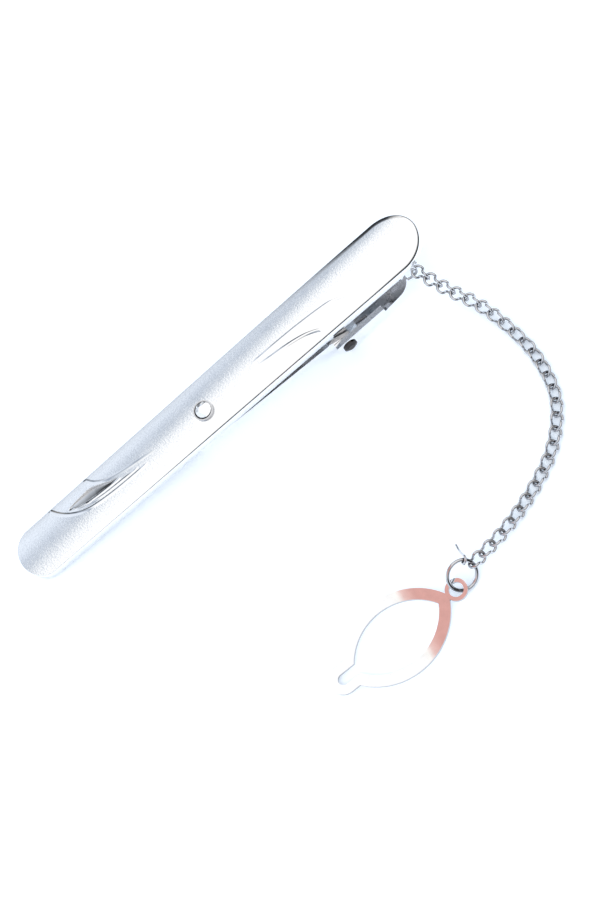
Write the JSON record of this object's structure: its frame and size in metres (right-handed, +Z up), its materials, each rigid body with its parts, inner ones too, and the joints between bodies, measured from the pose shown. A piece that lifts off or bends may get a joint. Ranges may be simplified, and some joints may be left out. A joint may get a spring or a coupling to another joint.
{
  "type": "tie clip",
  "caption": "Sprung tie clip: a domed satin bar with raised curves and a set stone, a toothed jaw on a pinned thumb lever, and a fine chain ending in a flat loop for a shirt button.",
  "frame": {"origin": "where the middle of the jaw's teeth meets the back of the bar, on the bar's centre line", "axes": "+X towards the hinge end along the table, +Z up from the table the clip lies on, +Y to the side away from the chain"},
  "size_m": [0.062, 0.0431, 0.0098],
  "materials": {
    "satin_silver": "frosted satin",
    "polished": "polished plating",
    "spring_steel": "drawn wire",
    "stone": "faceted and clear"
  },
  "bodies": {
    "lever": {"thumb_lever": "polished", "jaw_arm": "polished", "hinge_pin": "polished", "torsion_spring": "spring_steel"},
    "bar": {"face_bar": "satin_silver", "stone_bezel": "polished", "crystal": "stone", "hinge_bracket": "polished"},
    "ring": {"lever_ring": "polished"},
    "chain_link_01": {"chain_link_01": "polished"},
    "chain_link_02": {"chain_link_02": "polished"},
    "chain_link_03": {"chain_link_03": "polished"},
    "chain_link_04": {"chain_link_04": "polished"},
    "chain_link_05": {"chain_link_05": "polished"},
    "chain_link_06": {"chain_link_06": "polished"},
    "chain_link_07": {"chain_link_07": "polished"},
    "chain_link_08": {"chain_link_08": "polished"},
    "chain_link_09": {"chain_link_09": "polished"},
    "chain_link_10": {"chain_link_10": "polished"},
    "chain_link_11": {"chain_link_11": "polished"},
    "chain_link_12": {"chain_link_12": "polished"},
    "chain_link_13": {"chain_link_13": "polished"},
    "chain_link_14": {"chain_link_14": "polished"},
    "chain_link_15": {"chain_link_15": "polished"},
    "chain_link_16": {"chain_link_16": "polished"},
    "chain_link_17": {"chain_link_17": "polished"},
    "chain_link_18": {"chain_link_18": "polished"},
    "chain_link_19": {"chain_link_19": "polished"},
    "chain_link_20": {"chain_link_20": "polished"},
    "chain_link_21": {"chain_link_21": "polished"},
    "chain_link_22": {"chain_link_22": "polished"},
    "chain_link_23": {"chain_link_23": "polished"},
    "chain_link_24": {"chain_link_24": "polished"},
    "chain_link_25": {"chain_link_25": "polished"},
    "chain_link_26": {"chain_link_26": "polished"},
    "chain_link_27": {"chain_link_27": "polished"},
    "jump": {"jump_ring": "polished"},
    "cut": {"cut_link": "polished"},
    "loop": {"button_loop": "polished"}
  },
  "joints": [
    {"name": "bar_hinge", "type": "hinge", "parent": "lever", "child": "bar", "pos_m": [0.02032, 0, -0.00207], "axis": [0, 1, 0], "range_deg": [0, 15], "stiffness_Nm_per_rad": 0.02, "springref_deg": -28.65},
    {"name": "chain_ring_swivel", "type": "hinge", "parent": "lever", "child": "ring", "pos_m": [0.02947, -0.00162, 0.00022], "axis": [0, 0, 1], "range_deg": [-15, 15]},
    {"name": "chain_link_01_turn", "type": "hinge", "parent": "ring", "child": "chain_link_01", "pos_m": [0.03149, -0.00196, -0.0002], "axis": [0, 0, 1], "range_deg": [-10, 10]},
    {"name": "chain_link_02_turn", "type": "hinge", "parent": "chain_link_01", "child": "chain_link_02", "pos_m": [0.03199, -0.00322, -0.00072], "axis": [0, 0, -1], "range_deg": [-12, 12]},
    {"name": "chain_link_03_turn", "type": "hinge", "parent": "chain_link_02", "child": "chain_link_03", "pos_m": [0.03261, -0.00468, -0.00129], "axis": [0, 0, 1], "range_deg": [-12, 12]},
    {"name": "chain_link_04_turn", "type": "hinge", "parent": "chain_link_03", "child": "chain_link_04", "pos_m": [0.03328, -0.00615, -0.00177], "axis": [0, 0, -1], "range_deg": [-12, 12]},
    {"name": "chain_link_05_turn", "type": "hinge", "parent": "chain_link_04", "child": "chain_link_05", "pos_m": [0.03399, -0.00765, -0.00209], "axis": [0, 0, 1], "range_deg": [-12, 12]},
    {"name": "chain_link_06_turn", "type": "hinge", "parent": "chain_link_05", "child": "chain_link_06", "pos_m": [0.03462, -0.0092, -0.0023], "axis": [0, 0, -1], "range_deg": [-12, 12]},
    {"name": "chain_link_07_turn", "type": "hinge", "parent": "chain_link_06", "child": "chain_link_07", "pos_m": [0.0351, -0.01081, -0.00245], "axis": [0, 0, 1], "range_deg": [-12, 12]},
    {"name": "chain_link_08_turn", "type": "hinge", "parent": "chain_link_07", "child": "chain_link_08", "pos_m": [0.03545, -0.01246, -0.00256], "axis": [0, 0, -1], "range_deg": [-12, 12]},
    {"name": "chain_link_09_turn", "type": "hinge", "parent": "chain_link_08", "child": "chain_link_09", "pos_m": [0.03569, -0.01413, -0.00263], "axis": [0, 0, 1], "range_deg": [-12, 12]},
    {"name": "chain_link_10_turn", "type": "hinge", "parent": "chain_link_09", "child": "chain_link_10", "pos_m": [0.03586, -0.01581, -0.00271], "axis": [0, 0, -1], "range_deg": [-12, 12]},
    {"name": "chain_link_11_turn", "type": "hinge", "parent": "chain_link_10", "child": "chain_link_11", "pos_m": [0.0359, -0.0175, -0.00279], "axis": [0, 0, 1], "range_deg": [-12, 12]},
    {"name": "chain_link_12_turn", "type": "hinge", "parent": "chain_link_11", "child": "chain_link_12", "pos_m": [0.03577, -0.01918, -0.00283], "axis": [0, 0, -1], "range_deg": [-12, 12]},
    {"name": "chain_link_13_turn", "type": "hinge", "parent": "chain_link_12", "child": "chain_link_13", "pos_m": [0.03548, -0.02084, -0.00283], "axis": [0, 0, 1], "range_deg": [-12, 12]},
    {"name": "chain_link_14_turn", "type": "hinge", "parent": "chain_link_13", "child": "chain_link_14", "pos_m": [0.03503, -0.02247, -0.00283], "axis": [0, 0, -1], "range_deg": [-12, 12]},
    {"name": "chain_link_15_turn", "type": "hinge", "parent": "chain_link_14", "child": "chain_link_15", "pos_m": [0.03434, -0.024, -0.00283], "axis": [0, 0, 1], "range_deg": [-12, 12]},
    {"name": "chain_link_16_turn", "type": "hinge", "parent": "chain_link_15", "child": "chain_link_16", "pos_m": [0.03339, -0.0254, -0.00283], "axis": [0, 0, -1], "range_deg": [-12, 12]},
    {"name": "chain_link_17_turn", "type": "hinge", "parent": "chain_link_16", "child": "chain_link_17", "pos_m": [0.03228, -0.02667, -0.00283], "axis": [0, 0, 1], "range_deg": [-12, 12]},
    {"name": "chain_link_18_turn", "type": "hinge", "parent": "chain_link_17", "child": "chain_link_18", "pos_m": [0.03104, -0.02781, -0.00283], "axis": [0, 0, -1], "range_deg": [-12, 12]},
    {"name": "chain_link_19_turn", "type": "hinge", "parent": "chain_link_18", "child": "chain_link_19", "pos_m": [0.02967, -0.0288, -0.00283], "axis": [0, 0, 1], "range_deg": [-12, 12]},
    {"name": "chain_link_20_turn", "type": "hinge", "parent": "chain_link_19", "child": "chain_link_20", "pos_m": [0.02821, -0.02964, -0.00283], "axis": [0, 0, -1], "range_deg": [-12, 12]},
    {"name": "chain_link_21_turn", "type": "hinge", "parent": "chain_link_20", "child": "chain_link_21", "pos_m": [0.02668, -0.03037, -0.00283], "axis": [0, 0, 1], "range_deg": [-12, 12]},
    {"name": "chain_link_22_turn", "type": "hinge", "parent": "chain_link_21", "child": "chain_link_22", "pos_m": [0.02513, -0.03102, -0.00281], "axis": [0, 0, -1], "range_deg": [-12, 12]},
    {"name": "chain_link_23_turn", "type": "hinge", "parent": "chain_link_22", "child": "chain_link_23", "pos_m": [0.02355, -0.03162, -0.00272], "axis": [0, 0, 1], "range_deg": [-12, 12]},
    {"name": "chain_link_24_turn", "type": "hinge", "parent": "chain_link_23", "child": "chain_link_24", "pos_m": [0.02196, -0.03217, -0.00255], "axis": [0, 0, -1], "range_deg": [-12, 12]},
    {"name": "chain_link_25_turn", "type": "hinge", "parent": "chain_link_24", "child": "chain_link_25", "pos_m": [0.02035, -0.03265, -0.00234], "axis": [0, 0, 1], "range_deg": [-12, 12]},
    {"name": "chain_link_26_turn", "type": "hinge", "parent": "chain_link_25", "child": "chain_link_26", "pos_m": [0.01872, -0.03303, -0.00213], "axis": [0, 0, -1], "range_deg": [-12, 12]},
    {"name": "chain_link_27_turn", "type": "hinge", "parent": "chain_link_26", "child": "chain_link_27", "pos_m": [0.01707, -0.03334, -0.00197], "axis": [0, 0, 1], "range_deg": [-12, 12]},
    {"name": "jump_ring_turn", "type": "hinge", "parent": "chain_link_27", "child": "jump", "pos_m": [0.01568, -0.03356, -0.00192], "axis": [0, 0, 1], "range_deg": [-20, 20]},
    {"name": "cut_link_swing", "type": "hinge", "parent": "jump", "child": "cut", "pos_m": [0.01511, -0.03282, -0.00111], "axis": [0.7445, -0.4118, -0.5255], "range_deg": [-20, 20]},
    {"name": "button_loop_swing", "type": "hinge", "parent": "jump", "child": "loop", "pos_m": [0.01247, -0.0346, -0.00245], "axis": [0, 0, 1], "range_deg": [-20, 20]}
  ]
}
